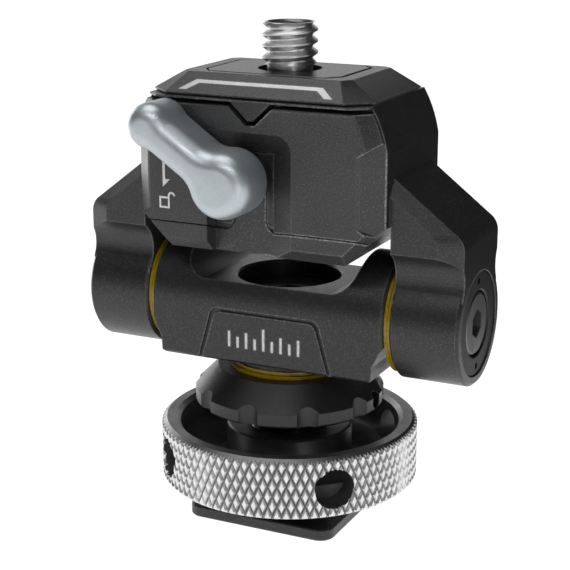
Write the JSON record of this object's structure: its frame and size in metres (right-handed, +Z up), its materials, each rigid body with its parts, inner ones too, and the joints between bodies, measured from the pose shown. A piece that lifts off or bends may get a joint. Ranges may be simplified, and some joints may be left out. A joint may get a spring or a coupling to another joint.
{
  "type": "swivel and tilt accessory mount",
  "caption": "Small metal swivel and tilt mount: shoe foot with knurled clamping wheel below, lever-released screw plate above, friction swivel and friction tilt between them.",
  "frame": {"origin": "centre of the shoe foot's underside, on the swivel axis", "axes": "+Z up along the swivel axis and the camera screw, X along the tilt axis, the release lever on the -Y side"},
  "size_m": [0.0466, 0.032, 0.058],
  "materials": {
    "black_anodised": "bead-blasted, black anodised, fine grain",
    "gloss_black": "smooth black anodised, semi-gloss",
    "satin_silver": "smooth satin, clear anodised",
    "knurled_rim": "bright diamond knurl on the rim, dark anodised cup and hub",
    "bright_inlay": "satin silver line",
    "stainless": "turned stainless steel",
    "dark_steel": "blackened steel, satin",
    "grey_steel": "grey zinc plate, satin",
    "spring_steel": "bright spring wire",
    "bronze": "oil-filled bronze, satin",
    "yellow_washer": "glossy yellow acetal",
    "grip_pad": "fine-grained matt rubber",
    "white_mark": "white fill in shallow engraving"
  },
  "bodies": {
    "base": {"shoe_foot": "gloss_black", "threaded_stem": "gloss_black", "notched_collar": "black_anodised", "collar_set_screws": "dark_steel", "swivel_washer_lower": "yellow_washer", "swivel_top_washer": "yellow_washer", "swivel_disc_spring": "spring_steel", "swivel_bolt": "grey_steel"},
    "shoe_clamp": {"shoe_washer": "gloss_black"},
    "wheel": {"thumbwheel": "knurled_rim"},
    "head": {"head_block": "black_anodised", "swivel_washer_upper": "yellow_washer", "swivel_bush": "bronze", "index_marks": "white_mark", "tilt_bolt_left": "grey_steel", "tilt_bolt_right": "grey_steel", "tilt_washer_inner_left": "yellow_washer", "tilt_washer_inner_right": "yellow_washer"},
    "yoke": {"yoke_body": "black_anodised", "front_cover": "black_anodised", "base_cover": "black_anodised", "base_cover_screws": "dark_steel", "front_cover_screws": "dark_steel", "tilt_washer_outer_left": "yellow_washer", "tilt_washer_outer_right": "yellow_washer", "tilt_disc_spring_left": "spring_steel", "tilt_disc_spring_right": "spring_steel", "tilt_ring_left": "gloss_black", "tilt_ring_right": "gloss_black", "lever_bush": "gloss_black", "lever_torsion_spring": "spring_steel", "release_marks": "white_mark", "ejector_springs": "spring_steel"},
    "release_lever": {"lever": "satin_silver", "lever_shaft": "dark_steel", "lever_set_screw": "dark_steel"},
    "lock": {"lock_slider": "stainless"},
    "top_plate": {"release_plate": "black_anodised", "plate_pad": "grip_pad", "plate_inlay": "bright_inlay", "screw_retaining_ring": "spring_steel", "ejector_pins": "stainless"},
    "screw": {"camera_screw": "stainless"}
  },
  "joints": [
    {"name": "shoe_clamp_slide", "type": "slide", "parent": "base", "child": "shoe_clamp", "axis": [0, 0, 1], "range_m": [-0.0024, 0.0025]},
    {"name": "wheel_turn", "type": "hinge", "parent": "shoe_clamp", "child": "wheel", "pos_m": [0, 0, 0.0076], "axis": [0, 0, 1], "range_deg": [-860, 890]},
    {"name": "swivel", "type": "hinge", "parent": "base", "child": "head", "pos_m": [0, 0, 0.0185], "axis": [0, 0, 1], "continuous": true},
    {"name": "tilt", "type": "hinge", "parent": "head", "child": "yoke", "pos_m": [0, 0, 0.02568], "axis": [1, 0, 0], "range_deg": [-90, 75]},
    {"name": "lever_turn", "type": "hinge", "parent": "yoke", "child": "release_lever", "pos_m": [-0.001, 0, 0.0419], "axis": [0, -1, 0], "range_deg": [0, 60], "stiffness_Nm_per_rad": 0.05, "springref_deg": -20.05},
    {"name": "lock_slide", "type": "slide", "parent": "yoke", "child": "lock", "axis": [1, 0, 0], "range_m": [0, 0.002]},
    {"name": "plate_lift", "type": "slide", "parent": "yoke", "child": "top_plate", "axis": [0, 0, 1], "range_m": [0, 0.00125], "deforming": ["ejector_springs"]},
    {"name": "screw_turn", "type": "hinge", "parent": "top_plate", "child": "screw", "pos_m": [0, 0, 0.0545], "axis": [0, 0, 1], "continuous": true}
  ],
  "couplings": [
    {"joint": "shoe_clamp_slide", "follows": "wheel_turn", "m_per_rad": 0.00015915},
    {"joint": "lever_turn", "follows": "lock_slide", "rad_per_m": 523.6},
    {"joint": "plate_lift", "follows": "lock_slide", "ratio": 0.6}
  ]
}
